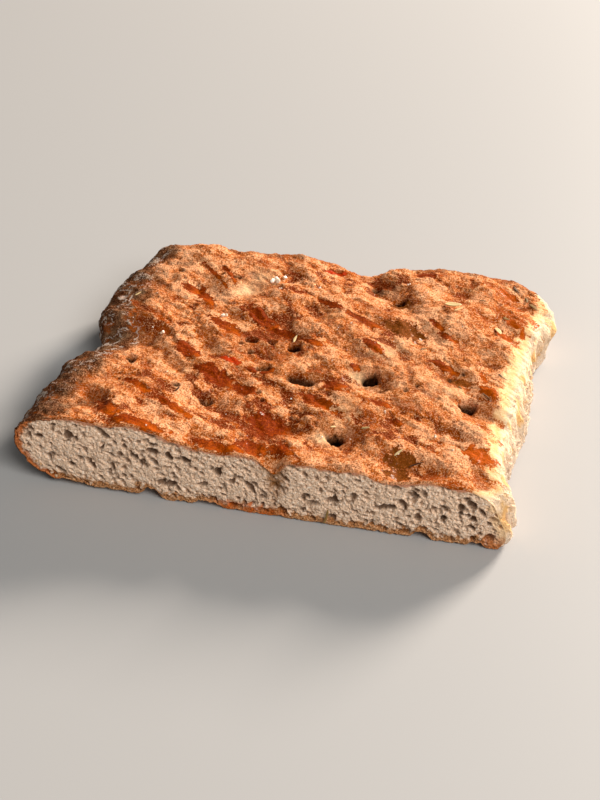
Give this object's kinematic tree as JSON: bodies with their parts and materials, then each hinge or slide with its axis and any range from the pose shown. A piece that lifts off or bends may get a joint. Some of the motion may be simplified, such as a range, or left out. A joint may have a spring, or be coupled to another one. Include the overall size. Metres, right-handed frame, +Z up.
{
  "type": "focaccia",
  "caption": "Flat piece of baked focaccia with a dimpled, oiled crust on top, cut straight along the front to show its crumb and torn along one side.",
  "frame": {"origin": "middle of the footprint, on the surface the piece rests on", "axes": "+X along the straight cut, from the baked left side to the torn right side; +Y from the cut to the baked back; +Z up through the top crust"},
  "size_m": [0.2118, 0.1664, 0.036],
  "materials": {
    "crust": "matt baked bread crust, orange-brown, with glossy oiled patches on top",
    "crumb": "matt grey-beige bread crumb with fine pores",
    "herb": "dry, baked herb leaves, matt",
    "salt": "coarse salt grains and flour, off-white"
  },
  "bodies": {
    "root": {"focaccia": "crust"}
  },
  "joints": []
}
